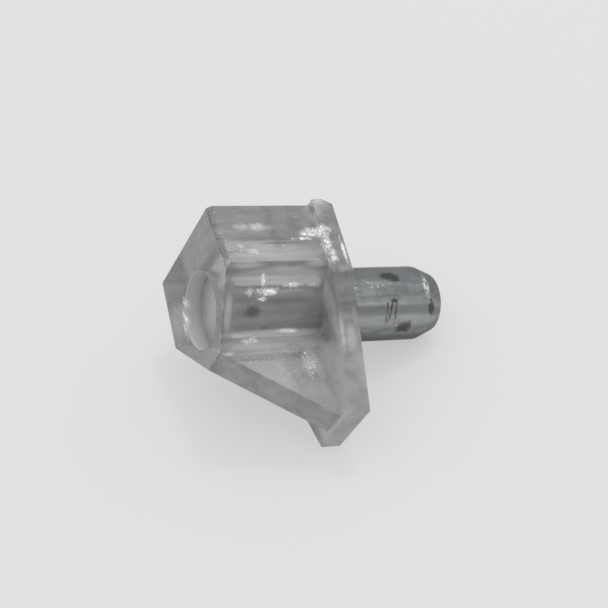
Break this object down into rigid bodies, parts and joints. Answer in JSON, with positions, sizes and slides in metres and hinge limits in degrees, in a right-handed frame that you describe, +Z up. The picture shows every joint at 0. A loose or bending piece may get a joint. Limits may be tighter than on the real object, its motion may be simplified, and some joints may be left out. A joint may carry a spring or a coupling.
{
  "type": "shelf support pin",
  "caption": "Clear plastic shelf support with a flat seat, a ribbed underside, a wall plate and a straight steel pin.",
  "frame": {"origin": "on the pin's axis, at the back face of the wall plate, where the plate meets the cabinet side", "axes": "+X along the pin, into the cabinet side; +Z up, out of the shelf seat; the part is symmetric across the XZ plane"},
  "size_m": [0.017, 0.011, 0.0141],
  "materials": {
    "clear_plastic": "clear moulded plastic, slightly hazy, with a fine spark texture on the rib and the block's flanks",
    "pin_steel": "dull zinc-plated steel, drawn lengthwise, with dark handling smudges"
  },
  "bodies": {
    "root": {"support_body": "clear_plastic", "steel_pin": "pin_steel"}
  },
  "joints": []
}
